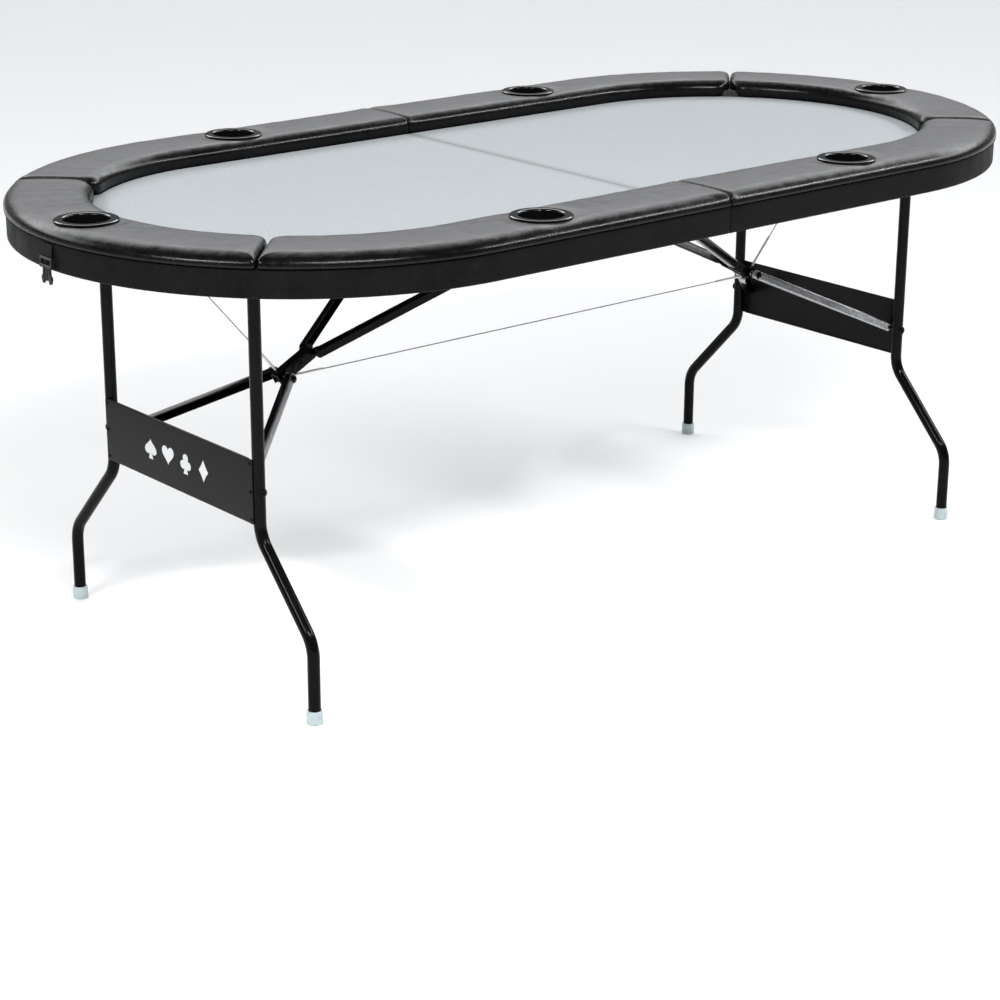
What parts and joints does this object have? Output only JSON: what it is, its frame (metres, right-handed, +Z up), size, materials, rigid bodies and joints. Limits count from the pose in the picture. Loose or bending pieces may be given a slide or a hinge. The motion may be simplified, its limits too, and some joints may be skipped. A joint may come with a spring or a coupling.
{
  "type": "folding poker table",
  "caption": "Racetrack-shaped folding card table with padded rails, sunken pale cloth, cup holders, wishbone folding legs and knee braces.",
  "frame": {"origin": "on the floor, under the middle of the table top at the seam between the halves", "axes": "+X along the table length, +Y across it, +Z up"},
  "size_m": [1.839, 0.9144, 0.718],
  "materials": {
    "rail_vinyl": "glossy black padded leatherette with a fine crackled grain",
    "apron_vinyl": "satin black vinyl-coated fabric",
    "cloth": "matt woven pale grey gaming cloth",
    "board": "dark painted fibreboard",
    "cup_plastic": "glossy black moulded plastic",
    "leg_steel": "semi-gloss black enamel",
    "plate_steel": "satin black powder coat",
    "zinc_steel": "galvanised zinc with faint spangle",
    "foot_plastic": "pale blue-grey soft plastic",
    "webbing": "black woven webbing",
    "buckle_plastic": "black moulded plastic"
  },
  "bodies": {
    "half_left": {"deck_board_left": "board", "playing_cloth_left": "cloth", "rail_core_left": "board", "apron_left": "apron_vinyl", "rail_pad_end_left": "rail_vinyl", "cup_end_left": "cup_plastic", "leg_pivot_saddle_left": "leg_steel", "brace_anchor_left": "leg_steel", "stay_wire_left": "zinc_steel", "rail_pad_far_left": "rail_vinyl", "rail_pad_near_left": "rail_vinyl", "cup_far_left": "cup_plastic", "cup_near_left": "cup_plastic", "hinge_leaf_left": "leg_steel"},
    "leg_set_left": {"leg_crossbar_left": "leg_steel", "leg_plate_left": "plate_steel", "leg_tube_far_left": "leg_steel", "leg_tube_near_left": "leg_steel", "foot_cap_far_left": "foot_plastic", "foot_cap_near_left": "foot_plastic", "brace_bolt_far_left": "leg_steel", "brace_bolt_near_left": "leg_steel"},
    "brace_lower_left": {"brace_lower_far_left": "zinc_steel", "brace_lower_near_left": "zinc_steel"},
    "brace_upper_left": {"knee_bracket_left": "leg_steel", "brace_upper_far_left": "leg_steel", "brace_upper_near_left": "leg_steel"},
    "knee_wire_left": {"knee_wire_left": "zinc_steel"},
    "strap_left": {"strap_left": "webbing", "buckle_left": "buckle_plastic"},
    "half_right": {"deck_board_right": "board", "playing_cloth_right": "cloth", "rail_core_right": "board", "apron_right": "apron_vinyl", "rail_pad_end_right": "rail_vinyl", "cup_end_right": "cup_plastic", "leg_pivot_saddle_right": "leg_steel", "brace_anchor_right": "leg_steel", "stay_wire_right": "zinc_steel", "rail_pad_far_right": "rail_vinyl", "rail_pad_near_right": "rail_vinyl", "cup_far_right": "cup_plastic", "cup_near_right": "cup_plastic", "hinge_leaf_right": "leg_steel"},
    "leg_set_right": {"leg_crossbar_right": "leg_steel", "leg_plate_right": "plate_steel", "leg_tube_far_right": "leg_steel", "leg_tube_near_right": "leg_steel", "foot_cap_far_right": "foot_plastic", "foot_cap_near_right": "foot_plastic", "brace_bolt_far_right": "leg_steel", "brace_bolt_near_right": "leg_steel"},
    "brace_lower_right": {"brace_lower_far_right": "zinc_steel", "brace_lower_near_right": "zinc_steel"},
    "brace_upper_right": {"knee_bracket_right": "leg_steel", "brace_upper_far_right": "leg_steel", "brace_upper_near_right": "leg_steel"},
    "knee_wire_right": {"knee_wire_right": "zinc_steel"},
    "strap_right": {"strap_right": "webbing", "buckle_right": "buckle_plastic"}
  },
  "joints": [
    {"name": "fold", "type": "hinge", "parent": "half_left", "child": "half_right", "pos_m": [0, 0, 0.6492], "axis": [0, 1, 0], "range_deg": [0, 75], "deforming": ["knee_wire_left", "knee_wire_right"]},
    {"name": "legs_left", "type": "hinge", "parent": "half_left", "child": "leg_set_left", "pos_m": [-0.7, 0, 0.662], "axis": [0, -1, 0], "range_deg": [0, 90], "deforming": ["stay_wire_left"]},
    {"name": "brace_lower_left", "type": "hinge", "parent": "leg_set_left", "child": "brace_lower_left", "pos_m": [-0.7, 0, 0.325], "axis": [0, -1, 0], "range_deg": [0, 63]},
    {"name": "brace_upper_left", "type": "hinge", "parent": "half_left", "child": "brace_upper_left", "pos_m": [-0.05, 0, 0.662], "axis": [0, 1, 0], "range_deg": [0, 28]},
    {"name": "knee_wire_left", "type": "hinge", "parent": "brace_upper_left", "child": "knee_wire_left", "pos_m": [-0.51394, 0, 0.42147], "axis": [0, -1, 0], "range_deg": [0, 28]},
    {"name": "strap_swing_left", "type": "hinge", "parent": "half_left", "child": "strap_left", "pos_m": [-0.9133, 0, 0.694], "axis": [0, 1, 0], "range_deg": [0, 90]},
    {"name": "legs_right", "type": "hinge", "parent": "half_right", "child": "leg_set_right", "pos_m": [0.7, 0, 0.662], "axis": [0, 1, 0], "range_deg": [0, 90], "deforming": ["stay_wire_right"]},
    {"name": "brace_lower_right", "type": "hinge", "parent": "leg_set_right", "child": "brace_lower_right", "pos_m": [0.7, 0, 0.325], "axis": [0, 1, 0], "range_deg": [0, 63]},
    {"name": "brace_upper_right", "type": "hinge", "parent": "half_right", "child": "brace_upper_right", "pos_m": [0.05, 0, 0.662], "axis": [0, -1, 0], "range_deg": [0, 28]},
    {"name": "knee_wire_right", "type": "hinge", "parent": "brace_upper_right", "child": "knee_wire_right", "pos_m": [0.51394, 0, 0.42147], "axis": [0, 1, 0], "range_deg": [0, 28]},
    {"name": "strap_swing_right", "type": "hinge", "parent": "half_right", "child": "strap_right", "pos_m": [0.9133, 0, 0.694], "axis": [0, -1, 0], "range_deg": [0, 90]}
  ],
  "couplings": [
    {"joint": "brace_lower_left", "follows": "legs_left", "ratio": 0.6955},
    {"joint": "brace_upper_left", "follows": "legs_left", "ratio": 0.3045},
    {"joint": "knee_wire_left", "follows": "legs_left", "ratio": 0.3045},
    {"joint": "brace_lower_right", "follows": "legs_right", "ratio": 0.6955},
    {"joint": "brace_upper_right", "follows": "legs_right", "ratio": 0.3045},
    {"joint": "knee_wire_right", "follows": "legs_right", "ratio": 0.3045}
  ]
}
